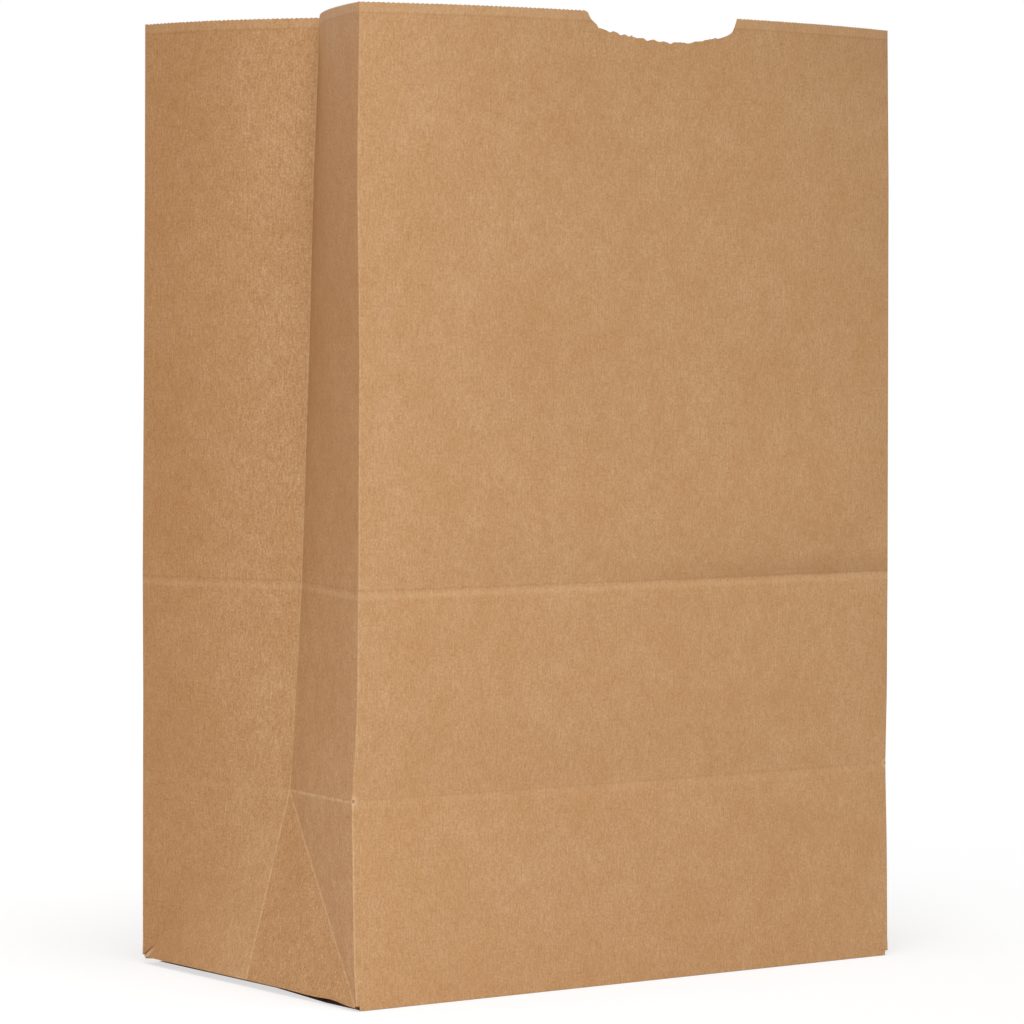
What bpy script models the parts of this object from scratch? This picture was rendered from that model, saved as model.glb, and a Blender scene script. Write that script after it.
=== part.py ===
"""A flat-bottomed brown paper bag, folded from one sheet of kraft paper.

The sheet is drawn flat, with its creases, saw-cut mouth and thumb cut, and then each point of it is
carried to its folded place. U runs around the bag and V up it, both in metres on the flat sheet: U is
zero at the front panel's left edge, and V is zero where the front panel meets the bottom.
"""
import bmesh
import bpy
from math import floor, hypot, sqrt
from mathutils import Vector

# The finished bag
PANEL_WIDTH = 0.298
GUSSET_WIDTH = 0.180
BAG_HEIGHT = 0.432

# The sheet
PAPER = 0.00015
GLUE = 0.00010
SEAM_LAP = 0.025
BOTTOM_LAP = 0.025
SEAM_STEP = 0.0008
LIP = 0.004

# The saw cut and the thumb cut in the mouth
TOOTH_PITCH = 0.00215
TOOTH_DEPTH = 0.0006
THUMB_WIDTH = 0.082
THUMB_DEPTH = 0.0122
THUMB_SHIFT = 0.0010
THUMB_SQUARENESS = 2.4

# How the open bag stands: gussets drawn in, back panel leaning forward (more so on its left) and
# shifted to the left, panels bowed out
GUSSET_TUCK = 0.024
LEFT_LEAN_LOW = 0.0105
LEFT_LEAN_MOUTH = 0.0180
RIGHT_LEAN = 0.0074
BACK_SHIFT_TUCK = 0.0020
BACK_SHIFT_LOW = 0.0058
BACK_SHIFT_MOUTH = 0.0080
FRONT_BOW = 0.0173
GUSSET_BOW = 0.0050

# Facets of the curved walls, and the paper's look
PANEL_COLUMNS = 14
GUSSET_COLUMNS = 4
BACK_ROWS = 6
THUMB_POINTS_PER_COLUMN = 8
PAPER_COLOUR = (0.485, 0.290, 0.150, 1.0)
PAPER_ROUGHNESS = 0.85

# The arc of y = 1 - x**3 is longer than its chord by this share of the bow squared
CUBIC_ARC = 0.9

# Worked out from those
HALF_PANEL = PANEL_WIDTH / 2
HALF_GUSSET = GUSSET_WIDTH / 2
LAYER = PAPER + GLUE
FLAP = HALF_GUSSET + BOTTOM_LAP / 2
FLOOR = PAPER / 2
FLAP_RISE = 2 * LAYER / (GUSSET_WIDTH - FLAP)
GUSSET_LIFT = 2 * LAYER + FLAP_RISE * FLAP
TURN = GUSSET_LIFT - LAYER
TURN_INSIDE = LAYER
TURN_OUTSIDE = TURN - TURN_INSIDE
MITRE_GAP = sqrt(2) * LAYER
MITRE_SHIFT = GUSSET_LIFT + TURN_OUTSIDE - TURN_INSIDE
MITRE_OUTER = (MITRE_GAP + MITRE_SHIFT) / 2
MITRE_INNER = MITRE_OUTER - MITRE_GAP
RELIEF = GUSSET_LIFT + 1.5 * LAYER
RELIEF_TOP = GUSSET_LIFT + 3.5 * LAYER
LOW_CREASE = HALF_GUSSET
HIGH_CREASE = GUSSET_WIDTH
SEAM_EDGE = -SEAM_LAP / 2
SHEET_LEFT = -GUSSET_WIDTH - (HALF_PANEL + SEAM_EDGE + SEAM_LAP)
SHEET_RIGHT = PANEL_WIDTH + GUSSET_WIDTH + (HALF_PANEL - SEAM_EDGE)
STEP_FAR = -GUSSET_WIDTH - (HALF_PANEL + SEAM_EDGE - SEAM_STEP / 2)
STEP_NEAR = STEP_FAR + SEAM_STEP


def chord(bow, half):
    """Half the straight width of a panel of half-width half, bowed out along a cubic curve."""
    return half - CUBIC_ARC * bow * bow / half


def between(low, high, share):
    return low + (high - low) * share


def climb(points, heights):
    """Gives each point of a corner edge its height, so that the edge keeps its length."""
    placed = [Vector((points[0][0], points[0][1], FLOOR + heights[0]))]
    for here, rise in zip(points[1:], (b - a for a, b in zip(heights, heights[1:]))):
        across = hypot(here[0] - placed[-1].x, here[1] - placed[-1].y)
        placed.append(Vector((here[0], here[1], placed[-1].z + sqrt(rise * rise - across * across))))
    return placed


# The four corner edges and the two gusset folds, each with a point at the floor and at each crease
STATIONS = [0.0, LOW_CREASE, HIGH_CREASE, BAG_HEIGHT]
DIP = HALF_GUSSET - sqrt(HALF_GUSSET**2 - GUSSET_TUCK**2)
MOUTH_HALF = chord(FRONT_BOW, HALF_PANEL)


def front_corner(side):
    outline = [
        (side * HALF_PANEL, -HALF_GUSSET),
        (side * HALF_PANEL, -HALF_GUSSET + DIP),
        (side * HALF_PANEL, -HALF_GUSSET),
        (side * MOUTH_HALF, -HALF_GUSSET),
    ]
    return climb(outline, STATIONS)


def back_corner(side):
    low, mouth = (LEFT_LEAN_LOW, LEFT_LEAN_MOUTH) if side < 0 else (RIGHT_LEAN, RIGHT_LEAN)
    outline = [
        (side * HALF_PANEL, HALF_GUSSET),
        (side * HALF_PANEL - BACK_SHIFT_TUCK, HALF_GUSSET - DIP),
        (side * HALF_PANEL - BACK_SHIFT_LOW, HALF_GUSSET - low),
        (side * HALF_PANEL - BACK_SHIFT_MOUTH, HALF_GUSSET - mouth),
    ]
    return climb(outline, STATIONS)


def gusset_fold(side, front, back):
    """The fold lies half a gusset from both corner edges, inside the line between them."""
    points = [Vector((side * HALF_PANEL, 0.0, FLOOR + GUSSET_LIFT))]
    for a, b in zip(front[1:], back[1:]):
        line = Vector((b.x - a.x, b.y - a.y, 0.0))
        inward = Vector((-line.y, line.x, 0.0)).normalized() * side
        reach = sqrt(HALF_GUSSET**2 - (line.length / 2) ** 2)
        points.append((a + b) / 2 + inward * reach)
    tuck = points[1] - points[0]
    points[1].z = points[0].z + sqrt((HALF_GUSSET - GUSSET_LIFT) ** 2 - tuck.x**2 - tuck.y**2)
    return points


FRONT = {side: front_corner(side) for side in (-1, 1)}
BACK = {side: back_corner(side) for side in (-1, 1)}
FOLD = {side: gusset_fold(side, FRONT[side], BACK[side]) for side in (-1, 1)}


def along(edge, v):
    """The point at height v on the flat sheet, on a corner edge or a gusset fold."""
    last = len(STATIONS) - 2
    k = next((i for i in range(last) if v < STATIONS[i + 1]), last)
    return edge[k].lerp(edge[k + 1], (v - STATIONS[k]) / (STATIONS[k + 1] - STATIONS[k]))


def opened(v):
    """How far up from the high crease to the mouth."""
    return max(0.0, (v - HIGH_CREASE) / (BAG_HEIGHT - HIGH_CREASE))


def faceted(u, width, columns, curve):
    """A curve over 0 to 1, read at the column lines and straight between them."""
    column = min(columns - 1, max(0, floor(u / width * columns)))
    share = u / width * columns - column
    return between(curve(column / columns), curve((column + 1) / columns), share)


def front_wall(u, v):
    flat = along(FRONT[-1], v).lerp(along(FRONT[1], v), u / PANEL_WIDTH)
    bow = faceted(u, PANEL_WIDTH, PANEL_COLUMNS, lambda t: 1 - abs(2 * t - 1) ** 3)
    return flat - Vector((0.0, FRONT_BOW * opened(v) * bow, 0.0))


def back_wall(side, a, v, layer):
    """a is the distance from the corner, and layer is 1 on the seam's inner lap."""
    flat = along(BACK[side], v).lerp(along(BACK[-side], v), a / PANEL_WIDTH)
    return flat - Vector((0.0, layer * LAYER, 0.0))


def gusset_wall(side, s, v):
    """s is the distance from the front corner, across the gusset."""
    corner = FRONT[side] if s <= HALF_GUSSET else BACK[side]
    s = s if s <= HALF_GUSSET else GUSSET_WIDTH - s
    fold = FOLD[side]
    if v > LOW_CREASE:
        a, b = along(corner, v), along(fold, v)
        share = s / HALF_GUSSET
        outward = Vector((b.y - a.y, a.x - b.x, 0.0)).normalized()
        outward *= 1 if outward.x * side > 0 else -1
        bow = faceted(s, HALF_GUSSET, GUSSET_COLUMNS, lambda t: 4 * t * (1 - t))
        return a.lerp(b, share) + outward * GUSSET_BOW * opened(v) * bow
    low = along(corner, GUSSET_LIFT)
    rise = (v - GUSSET_LIFT) * HALF_GUSSET / (LOW_CREASE - GUSSET_LIFT)
    if rise >= s:
        return low + ((corner[1] - low) * rise + (fold[1] - corner[1]) * s) / HALF_GUSSET
    return low + ((fold[0] - low) * s + (fold[1] - fold[0]) * rise) / HALF_GUSSET


def flap_level(long_side, depth):
    """Height of a long flap. The back one lies on the floor, the front one climbs onto it."""
    return FLOOR + (FLAP_RISE * depth if long_side < 0 else 0.0)


def gusset_flap(side, s, v):
    return Vector((side * (HALF_PANEL - GUSSET_LIFT + v), s - HALF_GUSSET, FLOOR + GUSSET_LIFT))


def long_flap(side, long_side, a, v, layer):
    """a is the distance from the corner, and layer is 1 on the seam's inner lap."""
    depth = -v + 2 * layer * LAYER
    height = flap_level(long_side, depth) + layer * LAYER
    return Vector((side * (HALF_PANEL - a), long_side * (HALF_GUSSET - depth), height))


def corner_triangle(side, long_side, a, v):
    """The corner of a long flap, turned under the gusset flap. a is the distance from the corner."""
    depth = a - TURN_OUTSIDE + TURN_INSIDE
    inward = GUSSET_LIFT - v
    height = flap_level(long_side, depth) + LAYER
    return Vector((side * (HALF_PANEL - inward), long_side * (HALF_GUSSET - depth), height))


def bottom(side, long_side, a, v):
    """A point below the bottom edge, at the distance a into the long panel from its corner."""
    if a < (TURN_OUTSIDE - TURN_INSIDE) / 2:
        s = -a if long_side < 0 else GUSSET_WIDTH + a
        return gusset_flap(side, s, v)
    if a + v < (MITRE_OUTER + MITRE_INNER) / 2:
        return corner_triangle(side, long_side, a, v)
    return long_flap(side, long_side, a, v, 0)


def folded(u, v):
    """Where a point of the flat sheet lies on the folded bag."""
    side = -1 if u < HALF_PANEL else 1
    s = max(-u, u - PANEL_WIDTH)
    if s <= 0:
        return front_wall(u, v) if v >= 0 else bottom(side, -1, -s, v)
    if s <= GUSSET_WIDTH:
        return gusset_wall(side, s, v) if v >= GUSSET_LIFT else gusset_flap(side, s, v)
    # The back panel is in two parts, and the left one steps inside the right one at the seam
    a = s - GUSSET_WIDTH
    layer = 1 if u < (STEP_NEAR + STEP_FAR) / 2 else 0
    if v >= layer * LAYER:
        return back_wall(side, a, v, layer)
    if layer:
        return long_flap(side, 1, a, v, layer)
    return bottom(side, 1, a, v)


def new_collection(name):
    collection = bpy.data.collections.new(name)
    bpy.context.scene.collection.children.link(collection)
    return collection


def cut(sheet, point, direction, inside):
    """Scores the sheet along a line, across the faces whose middles pass the test."""
    faces = [f for f in sheet.faces if inside(*f.calc_center_median()[:2])]
    edges = {e for f in faces for e in f.edges}
    verts = {v for f in faces for v in f.verts}
    normal = Vector((-direction[1], direction[0], 0.0)).normalized()
    bmesh.ops.bisect_plane(
        sheet,
        geom=[*verts, *edges, *faces],
        dist=PAPER / 100,
        plane_co=Vector((point[0], point[1], 0.0)),
        plane_no=normal,
    )


def cut_across(sheet, v, inside=lambda u, v: True):
    cut(sheet, (0.0, v), (1.0, 0.0), inside)


def cut_up(sheet, u, inside=lambda u, v: True):
    cut(sheet, (u, 0.0), (0.0, 1.0), inside)


def flat_blank():
    """The whole sheet, unfolded, as one flat face."""
    sheet = bmesh.new()
    width = SHEET_RIGHT - SHEET_LEFT
    height = BAG_HEIGHT + FLAP
    bmesh.ops.create_grid(sheet, x_segments=1, y_segments=1, size=0.5)
    bmesh.ops.scale(sheet, vec=(width, height, 1.0), verts=sheet.verts)
    centre = Vector((SHEET_LEFT + width / 2, BAG_HEIGHT - height / 2, 0.0))
    bmesh.ops.translate(sheet, vec=centre, verts=sheet.verts)
    return sheet


def in_gusset(u, v):
    return -GUSSET_WIDTH < u < 0 or PANEL_WIDTH < u < PANEL_WIDTH + GUSSET_WIDTH


def in_long_panel(corner, way):
    """The front panel, or the part of the back panel that starts at this corner."""
    low, high = sorted((corner, corner + way * PANEL_WIDTH))
    return lambda u, v: low < u < high


# Each corner edge's place on the flat sheet, with the way from it into its long panel
CORNERS = (
    (0.0, 1),
    (PANEL_WIDTH, -1),
    (-GUSSET_WIDTH, -1),
    (PANEL_WIDTH + GUSSET_WIDTH, 1),
)


def score_creases(sheet):
    """The level creases and the corner edges above the bottom."""
    cut_across(sheet, 0.0)
    for corner, _ in CORNERS:
        cut_up(sheet, corner, lambda u, v: v > 0)
    cut_across(sheet, HIGH_CREASE)
    cut_across(sheet, LOW_CREASE)
    cut_across(sheet, GUSSET_LIFT, in_gusset)


def score_seam(sheet):
    """The seam's step and lap, and the level lines that keep its layers apart on the twisted back."""
    for u in (STEP_NEAR, STEP_FAR):
        cut_up(sheet, u)
    cut_up(sheet, SHEET_RIGHT - SEAM_LAP, lambda u, v: v > 0)
    cut_across(sheet, LAYER, lambda u, v: u < STEP_FAR and 0 < v < LOW_CREASE)
    for k in range(1, BACK_ROWS):
        level = between(LOW_CREASE, BAG_HEIGHT, k / BACK_ROWS)
        cut_across(sheet, level, lambda u, v: u < -GUSSET_WIDTH or u > PANEL_WIDTH + GUSSET_WIDTH)


def score_gussets(sheet):
    """The gusset folds, and the diagonals that run down from them to the corners."""
    for u in (-HALF_GUSSET, PANEL_WIDTH + HALF_GUSSET):
        cut_up(sheet, u, lambda u, v: in_gusset(u, v) and v > GUSSET_LIFT)
    slope = (LOW_CREASE - GUSSET_LIFT) / HALF_GUSSET
    for corner, way in CORNERS:
        def near(u, v, corner=corner, way=way):
            return 0 < (corner - u) * way < HALF_GUSSET and GUSSET_LIFT < v < LOW_CREASE

        cut(sheet, (corner, GUSSET_LIFT), (-way, slope), near)


def score_columns(sheet):
    """The lines up the bowed panels, above the high crease."""
    for k in range(1, PANEL_COLUMNS):
        cut_up(sheet, PANEL_WIDTH * k / PANEL_COLUMNS, lambda u, v: v > HIGH_CREASE)
    for k in range(1, GUSSET_COLUMNS * 2):
        across = GUSSET_WIDTH * k / (GUSSET_COLUMNS * 2)
        for u in (-across, PANEL_WIDTH + across):
            cut_up(sheet, u, lambda u, v: v > HIGH_CREASE)


def score_bottom(sheet):
    """The turns beside the gusset flaps, and the mitres of the long flaps."""
    for corner, way in CORNERS:
        for u in (corner + way * TURN_OUTSIDE, corner - way * TURN_INSIDE):
            cut_up(sheet, u, lambda u, v: v < 0)
    for corner, way in CORNERS:
        in_long = in_long_panel(corner, way)
        for shift in (MITRE_OUTER, MITRE_INNER):
            line = (corner + way * shift, 0.0)
            cut(sheet, line, (way, -1.0), lambda u, v: in_long(u, v) and v < 0)


def open_corners(sheet):
    """A pinhole at each bottom corner, where the layers turn past one another."""
    for corner, _ in CORNERS:
        for u in (corner - RELIEF, corner + RELIEF):
            cut_up(sheet, u, lambda u, v: v < LOW_CREASE)
        for v in (-RELIEF, RELIEF_TOP):
            cut_across(sheet, v, lambda u, v: abs(u - corner) < RELIEF and v < LOW_CREASE)
    gone = [
        f
        for f in sheet.faces
        if any(abs(f.calc_center_median().x - corner) < RELIEF for corner, _ in CORNERS)
        and -RELIEF < f.calc_center_median().y < RELIEF_TOP
    ]
    bmesh.ops.delete(sheet, geom=gone, context="FACES")


def thumb_depth(u):
    """Depth of the thumb cut below the mouth, zero beside it."""
    reach = abs(u - HALF_PANEL - THUMB_SHIFT) / (THUMB_WIDTH / 2)
    if reach >= 1:
        return 0.0
    return THUMB_DEPTH * (1 - reach**THUMB_SQUARENESS) ** (1 / THUMB_SQUARENESS)


def top_edges(sheet):
    return [e for e in sheet.edges if all(abs(v.co.y - BAG_HEIGHT) < PAPER / 10 for v in e.verts)]


def cut_mouth(sheet):
    """The saw teeth along the mouth, and the thumb cut in the front panel."""
    thumb_left = HALF_PANEL + THUMB_SHIFT - THUMB_WIDTH / 2
    thumb_right = thumb_left + THUMB_WIDTH
    for u in (thumb_left, thumb_right):
        cut_up(sheet, u, lambda u, v: v > HIGH_CREASE)
    below = BAG_HEIGHT - 2 * THUMB_DEPTH
    cut_across(sheet, below, lambda u, v: thumb_left < u < thumb_right)
    cut_across(sheet, BAG_HEIGHT - LIP, lambda u, v: not thumb_left < u < thumb_right)
    for edge in top_edges(sheet):
        left, right = sorted(v.co.x for v in edge.verts)
        in_thumb = thumb_left < (left + right) / 2 < thumb_right
        teeth = max(1, round((right - left) / TOOTH_PITCH))
        parts = THUMB_POINTS_PER_COLUMN if in_thumb else 2 * teeth
        made = bmesh.ops.bisect_edges(sheet, edges=[edge], cuts=parts - 1)
        fresh = [g for g in made["geom_split"] if isinstance(g, bmesh.types.BMVert)]
        if not in_thumb:
            for vert in fresh:
                step = round((vert.co.x - left) / (right - left) * parts)
                vert.co.y -= TOOTH_DEPTH * (step % 2)
    for vert in sheet.verts:
        if abs(vert.co.y - BAG_HEIGHT) < PAPER / 10:
            vert.co.y -= thumb_depth(vert.co.x)


def kraft_paper():
    material = bpy.data.materials.new("kraft_paper")
    material.use_nodes = True
    shader = material.node_tree.nodes["Principled BSDF"]
    shader.inputs["Base Color"].default_value = PAPER_COLOUR
    shader.inputs["Roughness"].default_value = PAPER_ROUGHNESS
    shader.inputs["Metallic"].default_value = 0.0
    return material


def make_bag(collection):
    """Scores and cuts the flat sheet, folds it and gives the paper its thickness."""
    sheet = flat_blank()
    score_creases(sheet)
    score_seam(sheet)
    score_gussets(sheet)
    score_columns(sheet)
    score_bottom(sheet)
    open_corners(sheet)
    cut_mouth(sheet)
    bmesh.ops.triangulate(sheet, faces=sheet.faces[:])
    for vert in sheet.verts:
        vert.co = folded(vert.co.x, vert.co.y)
    mesh = bpy.data.meshes.new("paper_bag")
    sheet.to_mesh(mesh)
    sheet.free()
    mesh.materials.append(kraft_paper())
    bag = bpy.data.objects.new("paper_bag", mesh)
    collection.objects.link(bag)
    paper = bag.modifiers.new("paper", "SOLIDIFY")
    paper.thickness = PAPER
    paper.offset = 0.0
    paper.use_even_offset = True
    paper.use_quality_normals = True
    return bag


for item in list(bpy.data.objects):
    bpy.data.objects.remove(item)
make_bag(new_collection("brown_paper_bag"))
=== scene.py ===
"""An open brown kraft paper bag, standing empty on a pale floor."""
from math import cos, radians, sin

import bmesh
import bpy
import numpy as np
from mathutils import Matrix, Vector


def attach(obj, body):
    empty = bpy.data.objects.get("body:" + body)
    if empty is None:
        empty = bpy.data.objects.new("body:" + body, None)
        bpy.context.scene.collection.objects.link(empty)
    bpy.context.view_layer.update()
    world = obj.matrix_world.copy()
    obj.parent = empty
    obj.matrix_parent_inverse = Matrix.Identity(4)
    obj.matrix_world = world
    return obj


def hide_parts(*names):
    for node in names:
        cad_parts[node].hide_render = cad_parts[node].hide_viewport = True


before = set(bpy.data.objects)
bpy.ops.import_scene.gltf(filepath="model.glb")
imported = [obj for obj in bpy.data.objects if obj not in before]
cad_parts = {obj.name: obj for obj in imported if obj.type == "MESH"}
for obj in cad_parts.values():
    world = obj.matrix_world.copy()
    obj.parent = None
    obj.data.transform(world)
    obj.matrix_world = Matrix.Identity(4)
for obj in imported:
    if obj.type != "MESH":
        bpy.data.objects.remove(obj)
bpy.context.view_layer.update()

# The camera: low and well off to the bag's front left corner, far back with a long lens, so that the
# upright edges look nearly parallel and the mouth is seen from just below its own level.
scene = bpy.context.scene
scene.view_settings.view_transform = "Standard"
bpy.ops.object.camera_add(
    location=(-1.15926, -1.62067, 0.28477),
    rotation=(radians(87.804), 0.0, radians(-35.501)),
)
camera = bpy.context.object
camera.data.lens = 150.99
camera.data.sensor_width = 36.0
scene.camera = camera


# The studio floor: one wide sheet of matt white board, which runs out of sight behind the bag and takes
# its soft shadow. To the camera alone it also glows, so that it is as white as paper, except where the bag
# stands on it, so that the slit under the bag's left edge stays dark. That covered place's left limit
# moves in towards the back, where more of the floor is seen under the edge.
FLOOR_SIZE = 60.0
FLOOR_LEVEL = -0.0002
GLOW_REACH = (0.35, 2.4)
GLOW = (0.655, 0.91)
COVERED_DEPTH = (-0.0895, 0.0915)
COVERED_RIGHT = 0.1485
COVERED_LEFT = (-0.1455, -0.1395)
COVERED_BEND = (-0.060, -0.010)


def linear(code):
    """An sRGB hex colour as the linear one that a shader takes."""
    parts = [int(code[k : k + 2], 16) / 255 for k in (1, 3, 5)]
    return (*[c / 12.92 if c <= 0.04045 else ((c + 0.055) / 1.055) ** 2.4 for c in parts], 1.0)


def node(tree, kind, inputs=(), **settings):
    """Adds a node with its settings. An input is a node or a socket to link, or a plain value."""
    made = tree.nodes.new("ShaderNode" + kind)
    for name, value in settings.items():
        setattr(made, name, value)
    for name, value in enumerate(inputs) if isinstance(inputs, tuple) else inputs.items():
        if isinstance(value, bpy.types.Node):
            value = value.outputs[0]
        if isinstance(value, bpy.types.NodeSocket):
            tree.links.new(value, made.inputs[name])
        else:
            made.inputs[name].default_value = value
    return made


def seen_rays(tree):
    """One for a ray from the camera or through something clear, and nought for the others."""
    ray = node(tree, "LightPath")
    return node(
        tree,
        "Math",
        (ray.outputs["Is Camera Ray"], ray.outputs["Is Transmission Ray"]),
        operation="MAXIMUM",
    )


bpy.ops.object.select_all(action="DESELECT")
bpy.ops.mesh.primitive_plane_add(size=FLOOR_SIZE, location=(0.0, 0.0, FLOOR_LEVEL))
floor = bpy.context.object
floor.name = "studio_floor"
board = bpy.data.materials.new("white_board")
board.use_nodes = True
floor.data.materials.append(board)
tree = board.node_tree
tree.nodes.clear()
matt = node(tree, "BsdfDiffuse", (linear("#f2f2f2"),))
shade = node(tree, "BsdfDiffuse", (linear("#979797"),))
spot = node(tree, "NewGeometry").outputs["Position"]
reach = node(tree, "VectorMath", (spot,), operation="LENGTH").outputs["Value"]
lit = node(tree, "MapRange", (reach, *GLOW_REACH, *GLOW))
right, back, _ = node(tree, "SeparateXYZ", (spot,)).outputs
left_edge = node(tree, "MapRange", (back, *COVERED_BEND, *COVERED_LEFT))
past_left = node(tree, "Math", (right, left_edge), operation="GREATER_THAN")
before_right = node(tree, "Math", (right, COVERED_RIGHT), operation="LESS_THAN")
behind_front = node(tree, "Math", (back, COVERED_DEPTH[0]), operation="GREATER_THAN")
before_back = node(tree, "Math", (back, COVERED_DEPTH[1]), operation="LESS_THAN")
covered = node(tree, "Math", (past_left, before_right), operation="MULTIPLY")
for side in (behind_front, before_back):
    covered = node(tree, "Math", (covered, side), operation="MULTIPLY")
bare = node(tree, "Math", (1.0, covered), operation="SUBTRACT")
strength = node(tree, "Math", (lit, bare), operation="MULTIPLY")
glow = node(tree, "Emission", {"Strength": strength})
both = node(tree, "AddShader", (shade, glow))
mixed = node(tree, "MixShader", (seen_rays(tree), matt, both))
node(tree, "OutputMaterial", {"Surface": mixed})


# The light: a white room all round, one large soft box high in front of the bag, a small weak one low at
# its front left, and a third behind it that brightens the inside.
ROOM_LIGHT = 0.30
world = bpy.data.worlds.new("white_room")
scene.world = world
world.use_nodes = True
tree = world.node_tree
tree.nodes.clear()
room = node(tree, "Background", (linear("#ffffff"), ROOM_LIGHT))
behind = node(tree, "Background", (linear("#ffffff"), 1.0))
mixed = node(tree, "MixShader", (seen_rays(tree), room, behind))
node(tree, "OutputWorld", {"Surface": mixed})


BAG_MIDDLE = Vector((0.0, 0.0, 0.22))


def soft_box(name, azimuth, elevation, distance, size, power):
    """A square soft box that faces the middle of the bag. Azimuth 0 is in front of it, 90 on its left."""
    turn, lift = radians(azimuth), radians(elevation)
    away = Vector((-sin(turn) * cos(lift), -cos(turn) * cos(lift), sin(lift)))
    bpy.ops.object.light_add(type="AREA", location=BAG_MIDDLE + away * distance)
    lamp = bpy.context.object
    lamp.name = name
    lamp.data.size = size
    lamp.data.energy = power
    lamp.rotation_euler = away.to_track_quat("Z", "Y").to_euler()


soft_box("top_light", azimuth=22, elevation=75, distance=2.2, size=1.1, power=44.5)
soft_box("front_light", azimuth=40, elevation=5, distance=1.0, size=0.6, power=2.12)
soft_box("back_light", azimuth=165, elevation=30, distance=1.8, size=1.0, power=9.5)


# The bag: one sheet of unbleached kraft paper, 981 by 534.5 mm, folded round into a tube with a glued seam
# up the back, with a gusset in each side and a bottom that is folded and glued flat. The sheet is laid out
# flat, scored along its creases, saw-cut and notched at the mouth, and then folded.
PANEL = 0.298
GUSSET = 0.180
HEIGHT = 0.432
PAPER = 0.00015
GLUE = 0.00010
SEAM_LAP = 0.025
BOTTOM_LAP = 0.025
SEAM_STEP = 0.0008
CRIMP = 0.0042
TOOTH = 0.0004
ROUND = 0.0006
HALF_PANEL = PANEL / 2
HALF_GUSSET = GUSSET / 2
LAYER = PAPER + GLUE
FLAP = HALF_GUSSET + BOTTOM_LAP / 2
FLAP_RISE = 2 * LAYER / (GUSSET - FLAP)
GUSSET_LIFT = 2 * LAYER + FLAP_RISE * FLAP
TURN_INSIDE = LAYER
TURN_OUTSIDE = GUSSET_LIFT - 2 * LAYER
MITRE_SHIFT = GUSSET_LIFT + TURN_OUTSIDE - TURN_INSIDE
MITRE_OUTER = (2**0.5 * LAYER + MITRE_SHIFT) / 2
MITRE_INNER = MITRE_OUTER - 2**0.5 * LAYER
PINHOLE = GUSSET_LIFT + 1.5 * LAYER
PINHOLE_TOP = GUSSET_LIFT + 3.5 * LAYER
SEAM_EDGE = -SEAM_LAP / 2
SHEET_LEFT = -GUSSET - HALF_PANEL - SEAM_EDGE - SEAM_LAP
SHEET_RIGHT = PANEL + GUSSET + HALF_PANEL - SEAM_EDGE
STEP_FAR = -GUSSET - HALF_PANEL - SEAM_EDGE + SEAM_STEP / 2
STEP_NEAR = STEP_FAR + SEAM_STEP
CORNERS = ((0.0, 1), (PANEL, -1), (-GUSSET, -1), (PANEL + GUSSET, 1))


def spaced(marks, gap):
    """Lines about a gap apart between each two marks, the marks included."""
    lines = [marks[0]]
    for low, high in zip(marks, marks[1:]):
        count = max(1, round((high - low) / gap))
        lines += [low + (high - low) * (k + 1) / count for k in range(count)]
    return np.array(lines)


# The flat sheet's lines: one at each crease and turn, a few close beside it, and even ones between them
across = [SHEET_LEFT, STEP_FAR, STEP_NEAR, -HALF_GUSSET, PANEL + HALF_GUSSET, SHEET_RIGHT]
for corner, way in CORNERS:
    across += [corner, corner - way * TURN_INSIDE, corner + way * TURN_OUTSIDE]
    across += [corner - PINHOLE, corner + PINHOLE]
for fold in (-HALF_GUSSET, PANEL + HALF_GUSSET):
    across += [fold - ROUND, fold + ROUND]
upward = [0.0, LAYER, GUSSET_LIFT, PINHOLE_TOP, 0.004, 0.009]
for crease in (HALF_GUSSET, GUSSET):
    upward += [crease - 0.0045, crease - ROUND, crease, crease + ROUND, crease + 0.004]
upward += [HEIGHT - 0.009, HEIGHT - CRIMP - 0.0004, HEIGHT - CRIMP, HEIGHT]
COLUMN_GAP = 0.00323
ROW_GAP = 0.0070
columns = spaced(sorted(across), COLUMN_GAP)
rows = spaced(sorted(upward), ROW_GAP)

bpy.ops.object.select_all(action="DESELECT")
bpy.ops.mesh.primitive_grid_add(x_subdivisions=len(columns) - 1, y_subdivisions=len(rows) - 1, size=1.0)
bag = bpy.context.object
bag.name = bag.data.name = "kraft_bag"
grid = np.zeros(len(bag.data.vertices) * 3)
bag.data.vertices.foreach_get("co", grid)
grid = grid.reshape(-1, 3)
grid[:, 0] = columns[np.rint((grid[:, 0] + 0.5) * (len(columns) - 1)).astype(int)]
grid[:, 1] = rows[np.rint((grid[:, 1] + 0.5) * (len(rows) - 1)).astype(int)]
bag.data.vertices.foreach_set("co", grid.ravel())
TINY = 1e-6


def pick(test, kind="faces"):
    """In edit mode, selects the faces or edges whose middles pass the test."""
    bpy.ops.mesh.select_all(action="DESELECT")
    bpy.ops.mesh.select_mode(type="FACE" if kind == "faces" else "EDGE")
    sheet = bmesh.from_edit_mesh(bag.data)
    for part in getattr(sheet, kind):
        middle = sum((v.co for v in part.verts), part.verts[0].co * 0) / len(part.verts)
        if test(middle.x, middle.y):
            part.select_set(True)
    bmesh.update_edit_mesh(bag.data)


def score(point, way, test):
    """Cuts a crease line across the picked faces."""
    pick(test)
    bpy.ops.mesh.bisect(plane_co=(*point, 0.0), plane_no=(-way[1], way[0], 0.0), threshold=TINY)


bpy.ops.object.mode_set(mode="EDIT")

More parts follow.
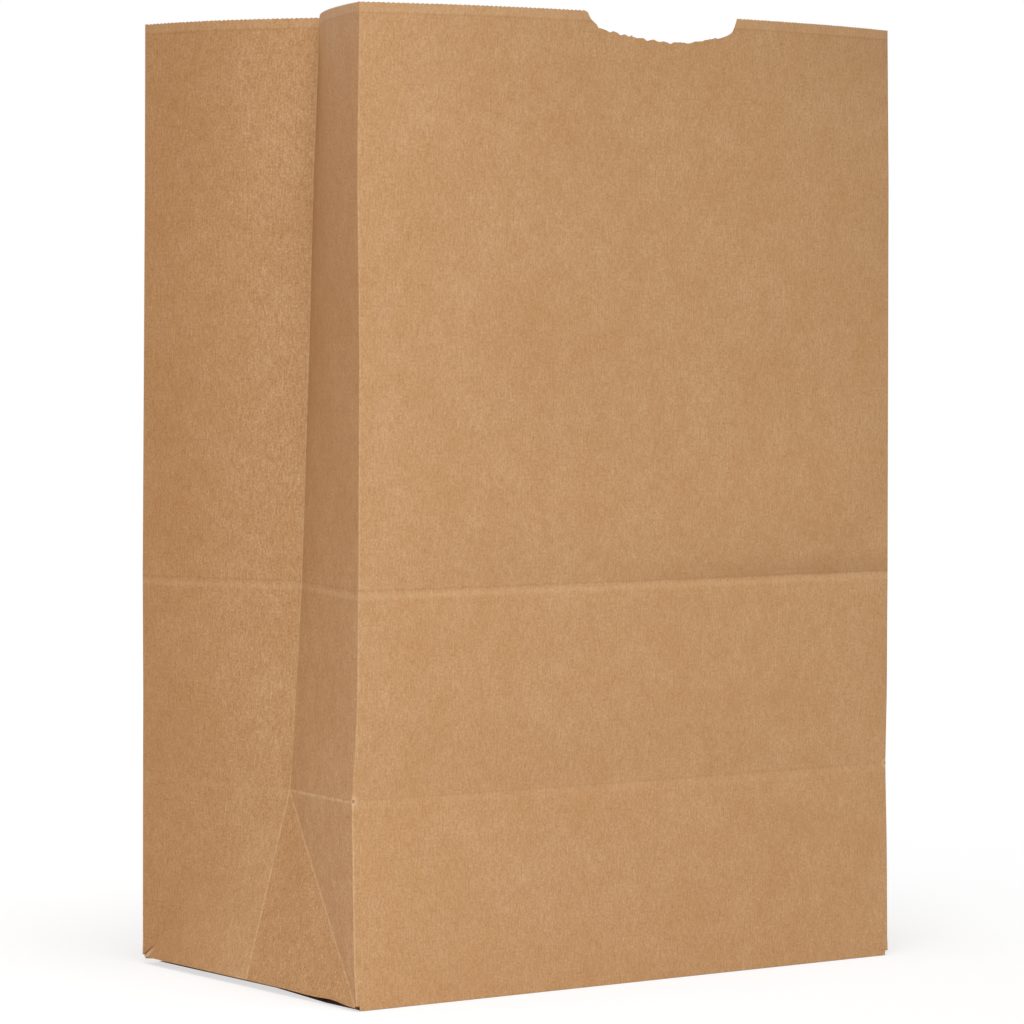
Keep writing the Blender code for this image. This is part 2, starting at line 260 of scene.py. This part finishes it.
# The bottom flaps are the sheet below the bottom edge, with mitres at the four corners
pick(lambda u, v: v < TINY, "edges")
FLAP_ROWS = 8
for row in range(FLAP_ROWS):
    bpy.ops.mesh.extrude_edges_move(TRANSFORM_OT_translate={"value": (0.0, -FLAP / FLAP_ROWS, 0.0)})
for corner, way in CORNERS:
    for shift in (MITRE_OUTER, MITRE_INNER):
        score(
            (corner + way * shift, 0.0),
            (way, -1.0),
            lambda u, v: v < 0 and TURN_OUTSIDE < (u - corner) * way < PANEL,
        )
    score((0.0, -PINHOLE), (1.0, 0.0), lambda u, v: v < 0 and abs(u - corner) < PINHOLE)

# Each gusset has two diagonal creases, from its bottom corners up to where its middle fold starts
slope = (HALF_GUSSET - GUSSET_LIFT) / HALF_GUSSET
for corner, way in CORNERS:
    for shift in (-2 * ROUND, 0.0, 2 * ROUND):
        score(
            (corner, GUSSET_LIFT + shift),
            (-way, slope),
            lambda u, v: 0 < (corner - u) * way < HALF_GUSSET and GUSSET_LIFT < v < HALF_GUSSET,
        )

# A pinhole at each bottom corner, where the layers turn past one another
pick(lambda u, v: -PINHOLE < v < PINHOLE_TOP and any(abs(u - c) < PINHOLE for c, _ in CORNERS))
bpy.ops.mesh.delete(type="FACE")

# The mouth's edge is cut finely enough for its saw teeth
pick(lambda u, v: v > HEIGHT - TINY, "edges")
bpy.ops.mesh.subdivide(number_cuts=2)
bpy.ops.mesh.select_mode(type="FACE")
bpy.ops.mesh.select_all(action="DESELECT")
bpy.ops.mesh.select_face_by_sides(number=4, type="GREATER")
bpy.ops.mesh.quads_convert_to_tris()
bpy.ops.object.mode_set(mode="OBJECT")

flat = np.zeros(len(bag.data.vertices) * 3)
bag.data.vertices.foreach_get("co", flat)
flat = flat.reshape(-1, 3)

# The saw leaves a tooth every 2.15 mm, and the thumb cut is punched in the front panel
edge = np.flatnonzero(flat[:, 1] > HEIGHT - TINY)
edge = edge[np.argsort(flat[edge, 0])]
cut = np.zeros(len(flat))
uneven = np.random.default_rng(7)
tips = edge[1::2]
cut[tips] = TOOTH * uneven.uniform(0.75, 1.15, len(tips))
THUMB = (
    (-0.0399, 0.0),
    (-0.0383, 0.0027),
    (-0.0355, 0.0056),
    (-0.0327, 0.0072),
    (-0.0270, 0.0086),
    (-0.0214, 0.0097),
    (-0.0101, 0.0111),
    (0.0011, 0.0121),
    (0.0180, 0.0121),
    (0.0236, 0.0112),
    (0.0364, 0.0091),
    (0.0396, 0.0083),
    (0.0425, 0.0066),
    (0.0441, 0.0035),
    (0.0447, 0.0),
)
THUMB_REACH = 0.030
RAGGED = 0.00036
depth = np.interp(flat[:, 0] - HALF_PANEL, *zip(*THUMB), left=0.0, right=0.0)
torn = edge[depth[edge] > 0]
cut[torn] = np.convolve(uneven.normal(0.0, RAGGED, len(torn) + 2), (0.2, 0.8, 0.2), mode="valid")
near_mouth = np.clip((flat[:, 1] - HEIGHT + THUMB_REACH) / THUMB_REACH, 0.0, 1.0)
flat[:, 1] -= cut + depth * near_mouth

# The sheet's own flat coordinates stay with the paper, for its grain, specks and worn creases
layout = bag.data.uv_layers.new(name="sheet")
owner = np.zeros(len(bag.data.loops), dtype=int)
bag.data.loops.foreach_get("vertex_index", owner)
layout.data.foreach_set("uv", flat[owner, :2].ravel())

# The open bag hangs on six upright lines, its four corner edges and the gussets' two middle folds. Each is
# a smooth line through a few stations, given by their height up the flat sheet and their place in mm
SMOOTHING = 0.012
FINE_STEP = 0.001
fine = np.arange(-0.002, HEIGHT + 0.0025, FINE_STEP)


def smooth(stations, values):
    """A line through a few stations, rounded where it turns."""
    reach = round(SMOOTHING / FINE_STEP)
    weight = np.hanning(2 * reach + 1)
    padded = np.pad(np.interp(fine, stations, values), reach, mode="reflect", reflect_type="odd")
    return np.convolve(padded, weight / weight.sum(), mode="valid")


def rail(stations, xs, ys):
    """An upright edge of the open bag, as a function of the height up the flat sheet."""
    x = smooth(stations, np.array(xs) / 1000)
    y = smooth(stations, np.array(ys) / 1000)
    climb = np.sqrt(1 - np.gradient(x, fine) ** 2 - np.gradient(y, fine) ** 2)
    z = np.concatenate(([0.0], np.cumsum((climb[1:] + climb[:-1]) / 2 * FINE_STEP)))
    z += PAPER / 2 - np.interp(0.0, fine, z)
    return lambda v: np.stack([np.interp(v, fine, x), np.interp(v, fine, y), np.interp(v, fine, z)], -1)


LEVELS = (0.0, 0.015, 0.050, 0.090, 0.125, 0.180, 0.280, 0.360, 0.432)
FRONT = {
    -1: rail(
        LEVELS,
        (-149.0, -150.1, -150.0, -149.4, -148.6, -148.0, -147.3, -148.2, -147.0),
        (-90.0, -89.7, -88.6, -86.9, -89.6, -90.0, -90.0, -90.0, -90.0),
    ),
    1: rail(
        LEVELS,
        (149.0, 149.0, 148.8, 147.9, 148.5, 148.5, 148.4, 148.3, 147.3),
        (-90.0, -90.0, -89.8, -89.5, -89.8, -90.0, -90.0, -90.0, -90.0),
    ),
}
BACK = {
    -1: rail(
        LEVELS,
        (-149.0, -149.4, -150.4, -151.6, -153.0, -154.8, -155.3, -155.8, -157.0),
        (90.0, 89.5, 87.6, 85.2, 82.4, 79.5, 76.9, 74.7, 71.9),
    ),
    1: rail(
        LEVELS,
        (149.0, 148.6, 147.9, 147.0, 145.3, 143.2, 142.6, 142.0, 141.1),
        (90.0, 89.5, 88.0, 86.4, 84.6, 82.6, 82.5, 82.6, 82.6),
    ),
}


APEX = 0.0868


def inner_fold(side, xs, ys):
    """The gusset's middle fold. It starts above the two diagonal creases, drawn in to its apex."""
    low = rail(LEVELS, xs, ys)

    def at(v):
        place = low(v)
        ends = (FRONT[side](v)[..., 2] + BACK[side](v)[..., 2]) / 2
        sunk = np.interp(v, (0.0, HALF_GUSSET, GUSSET), (0.0, HALF_GUSSET - APEX, 0.0))
        place[..., 2] = ends - sunk
        return place

    return at


FOLD = {
    -1: inner_fold(
        -1,
        (-149.0, -145.1, -136.0, -125.7, -124.6, -121.4, -118.0, -116.0, -113.0),
        (0.0, -0.2, -0.5, -0.9, -3.1, -4.0, -4.9, -6.0, -6.7),
    ),
    1: inner_fold(
        1,
        (149.0, 145.0, 135.6, 125.0, 122.4, 120.4, 119.9, 119.8, 119.3),
        (0.0, -0.2, -0.5, -1.0, -2.0, -3.0, -3.4, -3.6, -3.8),
    ),
}

# How far each wall bows at the mouth, and bellies lower down
FRONT_BOW = 0.0173
BACK_BOW = 0.0022
PANEL_BELLY = 0.0030
GUSSET_BOW = {1: 0.0052, -1: 0.0066}
GUSSET_BELLY = {1: 0.0004, -1: 0.0026}


LIP = 0.22


def opened(v):
    """How far up from the upper level fold to the mouth, with some more at the very lip."""
    share = np.clip((v - GUSSET) / (HEIGHT - GUSSET), 0.0, 1.1)
    return (1 - LIP) * share + LIP * share**6


def ripple(u, v, seed, size):
    """The paper's slow waves, a few tenths of a millimetre high."""
    draw = np.random.default_rng(seed)
    total = np.zeros(np.shape(u))
    for k in range(9):
        length = draw.uniform(0.05, 0.16)
        angle = draw.uniform(0.0, np.pi)
        phase = draw.uniform(0.0, 2 * np.pi)
        total += np.sin(2 * np.pi * (u * np.cos(angle) + v * np.sin(angle)) / length + phase)
    return total / 3 * size


def ease(x):
    """A soft step from nought to one."""
    x = np.clip(x, 0.0, 1.0)
    return x * x * (3 - 2 * x)


def swelling(v, rise, end, fall):
    """Nought at the bottom, one in the middle, and nought again at the end."""
    return ease(v / rise) * ease((end - v) / fall)


# How far the panels stand out, in mm, at each height: bent in at the two level folds of the flat bag and
# swelling between them
CREASE_PROFILE = (
    (0.0, 0.0),
    (0.050, 0.45),
    (0.0860, 0.10),
    (0.0900, -0.35),
    (0.0945, -0.10),
    (0.125, 0.45),
    (0.1755, 0.10),
    (0.1800, -0.50),
    (0.1830, -0.35),
    (0.1950, 0.80),
    (0.2050, 1.20),
    (0.2150, 1.05),
    (0.2400, 0.05),
    (0.2700, -0.10),
    (0.432, 0.0),
)


PANEL_RIM = 0.035
PANEL_WAVES = 0.00022


def long_wall(left, right, share, v, out, bow, seed):
    """The front or the back panel between its two upright edges."""
    place = left(v) * (1 - share)[:, None] + right(v) * share[:, None]
    rim = ease(np.minimum(share, 1 - share) * PANEL / PANEL_RIM)
    belly = PANEL_BELLY * swelling(v, rise=0.10, end=0.42, fall=0.30)
    lift = (bow * opened(v) + belly) * (1 - np.abs(2 * share - 1) ** 3)
    lift += rim * ripple(share * PANEL, v, seed, PANEL_WAVES) * ease(v / 0.03)
    profile = np.interp(v, *zip(*CREASE_PROFILE)) / 1000
    lift += profile * rim * (0.55 + 0.75 * share)
    place[:, 1] += out * lift
    return place


GUSSET_WAVES = 0.00018


def half_gusset(side, corner, s, v, front, seed):
    """Half a gusset, between the corner edge and the middle fold. s runs in from the corner edge."""
    a, b = corner(v), FOLD[side](v)
    share = s / HALF_GUSSET
    way = np.stack([b[:, 1] - a[:, 1], a[:, 0] - b[:, 0], np.zeros(len(v))], -1)
    way /= np.linalg.norm(way, axis=1)[:, None]
    way *= np.sign(way[:, 0] * side)[:, None]
    belly = GUSSET_BELLY[front] * swelling(v, rise=0.13, end=0.45, fall=0.20)
    lift = (GUSSET_BOW[front] * opened(v) + belly) * 4 * share * (1 - share)
    lift += ease(share * 4) * ease((1 - share) * 4) * ripple(s, v, seed, GUSSET_WAVES) * ease(v / 0.04)
    high = a + (b - a) * share[:, None]

    base = corner(np.array([GUSSET_LIFT]))[0]
    top, apex = corner(np.array([HALF_GUSSET]))[0], FOLD[side](np.array([HALF_GUSSET]))[0]
    foot = np.array([side * HALF_PANEL, 0.0, PAPER / 2 + GUSSET_LIFT])
    rise = (v - GUSSET_LIFT) / (HALF_GUSSET - GUSSET_LIFT)
    outer = corner(v) + (apex - top) * share[:, None]
    slack = corner(v) - base - (top - base) * rise[:, None]
    with np.errstate(divide="ignore", invalid="ignore"):
        fade = np.nan_to_num(np.clip(share / rise, 0.0, 1.0))
    outer -= slack * fade[:, None]
    inner = base + (foot - base) * share[:, None] + (apex - foot) * rise[:, None]
    lower = np.where((share <= rise)[:, None], outer, inner)
    return np.where((v > HALF_GUSSET)[:, None], high, lower) + way * lift[:, None]


SPRING = 0.0008
SPRING_PLACE = 0.020
SPRING_WIDTH = 0.010
SPRING_FADE = 0.008


def sprung(s, v):
    """How far the gusset's bottom edge springs up beside the front corner."""
    beside = (s - SPRING_PLACE) / SPRING_WIDTH
    return SPRING * np.exp(-(beside**2)) * np.exp(-np.abs(v) / SPRING_FADE)


def walls(u, v):
    """Where the points of the flat sheet above the bottom lie on the open bag."""
    place = np.zeros((len(u), 3))
    side = np.where(u < HALF_PANEL, -1, 1)
    s = np.maximum(-u, u - PANEL)
    front = s <= 0
    place[front] = long_wall(FRONT[-1], FRONT[1], u[front] / PANEL, v[front], -1, FRONT_BOW, 3)
    for way in (-1, 1):
        for near, corner, seed in ((1, FRONT[way], 11), (-1, BACK[way], 23)):
            part = (s > 0) & (s <= GUSSET) & (side == way) & ((s <= HALF_GUSSET) == (near > 0))
            depth = s[part] if near > 0 else GUSSET - s[part]
            place[part] = half_gusset(way, corner, depth, v[part], near, seed + way)
            place[part, 2] += sprung(s[part], v[part] - GUSSET_LIFT)
    back = s > GUSSET
    share = (s[back] - GUSSET) / PANEL
    share = np.where(side[back] < 0, share, 1 - share)
    place[back] = long_wall(BACK[-1], BACK[1], share, v[back], 1, BACK_BOW, 5)
    place[:, 1] -= np.where(u < (STEP_FAR + STEP_NEAR) / 2, LAYER, 0.0)
    return place


def flap_level(long_side, depth):
    """The height of a flap's middle. The front one rises over the back one that it is glued on."""
    return PAPER / 2 + np.where(long_side < 0, FLAP_RISE * depth, 0.0)


def bottom(u, v):
    """Where the points of the flat sheet near and below the bottom edge lie."""
    side = np.where(u < HALF_PANEL, -1.0, 1.0)
    s = np.maximum(-u, u - PANEL)
    long_side = np.where(s <= HALF_GUSSET, -1.0, 1.0)
    a = np.where(s <= HALF_GUSSET, -s, s - GUSSET)
    layer = np.where(u < (STEP_FAR + STEP_NEAR) / 2, 1.0, 0.0)
    depth = 2 * layer * LAYER - v
    level = flap_level(long_side, depth) + layer * LAYER
    long_flap = np.stack([side * (HALF_PANEL - a), long_side * (HALF_GUSSET - depth), level], -1)
    depth = a - TURN_OUTSIDE + TURN_INSIDE
    level = flap_level(long_side, depth) + LAYER
    x = side * (HALF_PANEL - GUSSET_LIFT + v)
    triangle = np.stack([x, long_side * (HALF_GUSSET - depth), level], -1)
    turned = np.clip((a + TURN_INSIDE) / (TURN_INSIDE + TURN_OUTSIDE), 0.0, 1.0)
    under = flap_level(long_side, TURN_INSIDE) + LAYER
    level = (PAPER / 2 + GUSSET_LIFT + sprung(s, v)) * (1 - turned) + under * turned
    reach = HALF_GUSSET - TURN_INSIDE
    gusset_flap = np.stack([x, np.clip(s - HALF_GUSSET, -reach, reach), level], -1)
    is_gusset = a < (TURN_OUTSIDE - TURN_INSIDE) / 2
    is_triangle = ~is_gusset & (a + v < (MITRE_OUTER + MITRE_INNER) / 2)
    place = np.where(is_gusset[:, None], gusset_flap, np.where(is_triangle[:, None], triangle, long_flap))
    return place, np.where(is_gusset, GUSSET_LIFT, layer * LAYER)


# Folded, with each crease rounded a little above the bottom edge
u, v = flat[:, 0], flat[:, 1]
below, start = bottom(u, v)
exact = walls(u, np.maximum(v, 0.0))
ROUNDED_FROM = 0.003
ROUNDED_OVER = 0.004
around = ((ROUND, 0), (-ROUND, 0), (0, ROUND), (0, -ROUND))
rounded = sum(walls(u + x, np.maximum(v + y, 0.0)) for x, y in around) / len(around)
soft = ease((v - ROUNDED_FROM) / ROUNDED_OVER)[:, None]
placed = exact * (1 - soft) + rounded * soft
placed = np.where((v < start - TINY)[:, None], below, placed)

# The left side of the bottom curls up off the floor, most along the gusset's back half
CURL_START = -0.085
CURL_WIDTH = 0.064
CURL_FADE = 0.035
CURL = ((-0.088, 0.0), (-0.070, 0.0008), (-0.030, 0.0017), (0.090, 0.0020))
inward = ease((CURL_START - placed[:, 0]) / CURL_WIDTH)
curl = np.interp(placed[:, 1], *zip(*CURL))
placed[:, 2] += inward * curl * np.exp(-placed[:, 2] / CURL_FADE)
bag.data.vertices.foreach_set("co", placed.ravel())
bag.data.update()

thickness = bag.modifiers.new("paper", "SOLIDIFY")
thickness.thickness = PAPER
thickness.offset = 0.0
thickness.use_even_offset = True
thickness.use_quality_normals = True
bpy.ops.object.modifier_apply(modifier="paper")
bpy.ops.object.shade_smooth_by_angle(angle=radians(50.0))

# Unbleached kraft paper, machine made: matt with a faint sheen, warm brown, and never even. Long fibres lie
# mostly up the bag, the pulp is cloudy, and specks of bark and pale shives show in it. Its places and widths
# are in mm on the flat sheet.
EDGE = 1000 * HALF_PANEL
GUSSET_HALF = 1000 * HALF_GUSSET
FOLD_LINE = EDGE + GUSSET_HALF
LEVEL_CREASE = GUSSET_HALF
kraft = bpy.data.materials.new("unbleached_kraft_paper")
kraft.use_nodes = True
tree = kraft.node_tree
tree.nodes.clear()
layout = node(tree, "UVMap", uv_map="sheet")
sheet = node(tree, "VectorMath", {0: layout, "Scale": 1000.0}, operation="SCALE")
across, up, _ = node(tree, "SeparateXYZ", (sheet,)).outputs

# How far a place is from the middle of the front, from its edge, and from the gusset's middle fold
shifted = node(tree, "Math", (across, EDGE), operation="SUBTRACT")
far = node(tree, "Math", (shifted,), operation="ABSOLUTE")
past_edge = node(tree, "Math", (far, EDGE), operation="SUBTRACT")
past_fold = node(tree, "Math", (far, FOLD_LINE), operation="SUBTRACT")
from_fold = node(tree, "Math", (past_fold,), operation="ABSOLUTE")
gusset = (from_fold, GUSSET_HALF + 1.0, GUSSET_HALF - 1.0)
gusset = node(tree, "MapRange", gusset, interpolation_type="SMOOTHSTEP")
front_half = (far, (EDGE + FOLD_LINE) / 2, GUSSET_HALF / 2 - 0.5)
front_half = node(tree, "Math", front_half, operation="COMPARE")

# Each layer of the pulp: width, length over width, turn in degrees and weight. Real fibres are 0.04 mm
# wide, too fine to show, so the finest layers are drawn 0.8 mm wide.
PULP = (
    (0.85, 1.2, 0, 0.36),
    (0.75, 5.0, 42, 0.13),
    (0.75, 5.0, -38, 0.13),
    (0.80, 12.0, 2, 0.09),
    (2.00, 1.5, 12, 0.13),
    (4.60, 1.3, -20, 0.085),
    (11.0, 1.2, 30, 0.065),
    (34.0, 1.4, 10, 0.055),
)
pulp = 0.0
layers = []
for width, length, turn, weight in PULP:
    turned = node(
        tree,
        "Mapping",
        {0: sheet, "Rotation": (0, 0, radians(turn)), "Scale": (1 / width, 1 / width / length, 1.0)},
    )
    cloud = node(tree, "TexNoise", {"Vector": turned, "Scale": 1.0, "Detail": 0.0}, noise_dimensions="2D")
    evened = node(tree, "Math", (cloud, 0.5), operation="SUBTRACT")
    layers.append(node(tree, "Math", (evened, weight), operation="MULTIPLY"))
    pulp = node(tree, "Math", (pulp, layers[-1]), operation="ADD")
coarser = node(tree, "Math", (front_half, 0.45, 1.0), operation="MULTIPLY_ADD")
coarser = node(tree, "Math", (gusset, 0.4, coarser), operation="MULTIPLY_ADD")
grain = node(tree, "Math", (pulp, coarser, 0.5), operation="MULTIPLY_ADD", use_clamp=True)
base = node(
    tree,
    "Mix",
    {"Factor": grain, 6: linear("#9c6b3f"), 7: linear("#e3b98a")},
    data_type="RGBA",
).outputs[2]

# What lies over the pulp's colour, from first to last: where and how strongly, and its colour. The widest
# clouds of the pulp are warmer
widest = node(tree, "Math", (layers[6], layers[7]), operation="ADD")
warm = node(tree, "Math", (widest, -3.0, 0.15), operation="MULTIPLY_ADD", use_clamp=True)
over = [(warm, "#c08a50")]

# Painted shade: the gussets are painted deeper in tone than the panels, since they get less light and sheen,
# the front half most towards the mouth, and the back half towards the back panel
painted_shade_mouthward = node(tree, "MapRange", (up, 60.0, 330.0, 0.18, 0.38), interpolation_type="SMOOTHSTEP")
painted_shade_backward = node(tree, "MapRange", (past_fold, 5.0, 80.0, 0.03, 0.32), interpolation_type="SMOOTHSTEP")
painted_gusset_shade = node(tree, "Math", (front_half, painted_shade_mouthward, painted_shade_backward), operation="MULTIPLY_ADD")
over.append((node(tree, "Math", (gusset, painted_gusset_shade), operation="MULTIPLY"), "#a86a2c"))

# Bark specks and pale shives: spacing, share of places that hold one, radius, length over width, strength
# and colour
SPECKS = (
    (5.5, 0.35, 0.85, 1.5, 0.50, "#6f4a2c"),
    (23.0, 0.45, 0.80, 1.2, 0.90, "#4e3220"),
    (12.0, 0.35, 0.90, 2.2, 0.50, "#e6c7a0"),
    (37.0, 0.50, 0.75, 1.4, 0.90, "#f2dfc4"),
)
for gap, share, radius, length, strength, code in SPECKS:
    spread = node(tree, "Mapping", {0: sheet, "Scale": (1 / gap, 1 / gap / length, 1.0)})
    cell = node(tree, "TexVoronoi", {"Vector": spread}, voronoi_dimensions="2D")
    draw = node(tree, "SeparateColor", (cell.outputs["Color"],))
    held = node(tree, "Math", (draw, share), operation="LESS_THAN")
    size = node(tree, "Math", (draw.outputs[1], radius / gap), operation="MULTIPLY")
    speck = (cell.outputs["Distance"], size, 0.0, 0.0, strength)
    speck = node(tree, "MapRange", speck, interpolation_type="SMOOTHSTEP")
    over.append((node(tree, "Math", (speck, held), operation="MULTIPLY"), code))

# Along its creases the paper is rubbed paler, in patches. The upright ones are the gusset's two edges and
# its middle fold, and the level and slanting ones meet that fold 90 mm up
PATCH = 2.6
broken = {"Vector": sheet, "Scale": 1 / PATCH, "Detail": 1.0}
broken = node(tree, "TexNoise", broken, noise_dimensions="2D")
patchy = node(tree, "MapRange", (broken, 0.30, 0.62, 0.25, 1.0), interpolation_type="SMOOTHSTEP")
beside = node(tree, "Math", (past_edge, GUSSET_HALF / 2), operation="PINGPONG")
upright = node(tree, "MapRange", (beside, 1.0, 0.0), interpolation_type="SMOOTHSTEP")
on_gusset = node(tree, "Math", (far, FOLD_LINE, GUSSET_HALF + 10.0), operation="COMPARE")
lower = node(tree, "MapRange", (up, 96.0, 86.0, 0.30, 0.62), interpolation_type="SMOOTHSTEP")
for held in (on_gusset, lower):
    upright = node(tree, "Math", (upright, held), operation="MULTIPLY")
above = node(tree, "Math", (up, LEVEL_CREASE - 0.4), operation="SUBTRACT")
above = node(tree, "Math", (above,), operation="ABSOLUTE")
level = node(tree, "MapRange", (above, 1.1, 0.0), interpolation_type="SMOOTHSTEP")
share = node(tree, "Math", (front_half, 0.65, 0.04), operation="MULTIPLY_ADD")
level = node(tree, "Math", (level, share), operation="MULTIPLY")
beyond = node(tree, "Math", (from_fold, up), operation="ADD")
beyond = node(tree, "Math", (beyond, LEVEL_CREASE), operation="SUBTRACT")
beyond = node(tree, "Math", (beyond,), operation="ABSOLUTE")
slant = node(tree, "MapRange", (beyond, 1.9, 0.0), interpolation_type="SMOOTHSTEP")
slope_half = (GUSSET_HALF - 1.0) / 2
on_slope = node(tree, "Math", (from_fold, slope_half, slope_half), operation="COMPARE")
share = node(tree, "Math", (front_half, 0.45, 0.03), operation="MULTIPLY_ADD")
for held in (on_slope, share):
    slant = node(tree, "Math", (slant, held), operation="MULTIPLY")
worn = node(tree, "Math", (upright, level), operation="MAXIMUM")
worn = node(tree, "Math", (worn, slant), operation="MAXIMUM")
over.append((node(tree, "Math", (worn, patchy), operation="MULTIPLY"), "#dcb48a"))

# The saw's clamp presses a band along the mouth, where the lip is bent, and its paler colour there is
# painted highlight
lip_painted_highlight = node(tree, "MapRange", (up, 427.4, 428.2, 0.0, 0.16), interpolation_type="SMOOTHSTEP")
over.append((lip_painted_highlight, "#dcb58c"))

# Level lines of painted light and shade: height, half width, strength, how patchy and colour. Each of the
# two level folds of the flat bag gets a dark line of painted shade in the fold and a band of painted
# highlight just under it, where the paper tilts up, and a dark line of painted shade ends the band along the
# mouth, where the lip bends
CREASE_PAINTED_LIGHT = (
    (180.6, 0.9, 0.16, patchy, "#7d5330"),
    (177.9, 2.3, 0.15, 1.0, "#e6c198"),
    (90.6, 0.9, 0.08, patchy, "#7d5330"),
    (87.9, 2.3, 0.06, 1.0, "#e6c198"),
    (427.3, 0.9, 0.12, 1.0, "#8a6240"),
)
for middle, half_width, strength, held, code in CREASE_PAINTED_LIGHT:
    off = node(tree, "Math", (up, middle), operation="SUBTRACT")
    off = node(tree, "Math", (off,), operation="ABSOLUTE")
    painted_line = node(tree, "MapRange", (off, half_width, 0.0, 0.0, strength), interpolation_type="SMOOTHSTEP")
    over.append((node(tree, "Math", (painted_line, held), operation="MULTIPLY"), code))

# Painted shade: over the upper fold the front panel is painted darker towards its right edge, which turns
# away from the light
right_edge_painted_shade = node(tree, "MapRange", (across, 60.0, 297.0, 0.0, 0.24), interpolation_type="SMOOTHSTEP")
on_front = node(tree, "Math", (across, 2 * EDGE), operation="LESS_THAN")
fading = node(tree, "MapRange", (up, 193.0, 181.0), interpolation_type="SMOOTHSTEP")
starting = node(tree, "MapRange", (up, 180.0, 180.8), interpolation_type="SMOOTHSTEP")
for held in (on_front, fading, starting):
    right_edge_painted_shade = node(tree, "Math", (right_edge_painted_shade, held), operation="MULTIPLY")
over.append((right_edge_painted_shade, "#8a5a34"))

# The front corner edges are nicked where the gusset's level crease meets them. The nick is painted: a pale
# ring of painted light where the gap shows bright, and a dark core of painted shade where the crease is
# pinched
NICK = (148.6, 90.2, 0.0)
spot = node(tree, "CombineXYZ", (far, up))
nick = node(tree, "VectorMath", (spot, NICK), operation="DISTANCE").outputs["Value"]
for outer, core, strength, code in ((3.0, 1.2, 0.45, "#e6c39b"), (1.1, 0.4, 0.60, "#6b4526")):
    held = node(tree, "MapRange", (nick, outer, core, 0.0, strength), interpolation_type="SMOOTHSTEP")
    over.append((held, code))

# A small crumple at the left gusset's bottom back corner, in paint only: a dark fold of painted shade with a
# pale painted highlight on the raised edge under it
CRUMPLE = (-180.5, 0.5, 0.0)
FOLD_WAY = (0.76, 0.65, 0.0)
FOLD_SIDE = (-0.65, 0.76, 0.0)
corner = node(tree, "VectorMath", (sheet, CRUMPLE), operation="SUBTRACT")
along = node(tree, "VectorMath", (corner, FOLD_WAY), operation="DOT_PRODUCT").outputs["Value"]
beside = node(tree, "VectorMath", (corner, FOLD_SIDE), operation="DOT_PRODUCT").outputs["Value"]
within = node(tree, "Math", (along, 6.5, 6.5), operation="COMPARE")
fading = node(tree, "MapRange", (along, 13.0, 5.0), interpolation_type="SMOOTHSTEP")
held = node(tree, "Math", (within, fading), operation="MULTIPLY")
CRUMPLE_PAINTED_SHADE = (0.0, 1.0, 0.2, 0.75, "#5f3a1e")
CRUMPLE_PAINTED_HIGHLIGHT = (1.5, 1.4, 0.5, 0.55, "#e3bb92")
for shift, outer, core, strength, code in (CRUMPLE_PAINTED_SHADE, CRUMPLE_PAINTED_HIGHLIGHT):
    off = node(tree, "Math", (beside, shift), operation="ADD")
    off = node(tree, "Math", (off,), operation="ABSOLUTE")
    painted_line = node(tree, "MapRange", (off, outer, core, 0.0, strength), interpolation_type="SMOOTHSTEP")
    over.append((node(tree, "Math", (painted_line, held), operation="MULTIPLY"), code))

for amount, code in over:
    mixed = {"Factor": amount, 6: base, 7: linear(code)}
    base = node(tree, "Mix", mixed, data_type="RGBA").outputs[2]

# The surface is felt in the finest layer and in the one of 2 mm
height = node(tree, "Math", (layers[4], 1.5, layers[0]), operation="MULTIPLY_ADD")
relief = node(tree, "Bump", {"Height": height, "Strength": 1.0, "Distance": 0.00006})
paper = node(
    tree,
    "BsdfPrincipled",
    {"Base Color": base, "Normal": relief, "Roughness": 0.55, "Specular IOR Level": 0.22},
)
node(tree, "OutputMaterial", {"Surface": paper})
bag.data.materials.clear()
bag.data.materials.append(kraft)

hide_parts("paper_bag")
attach(bag, "root")
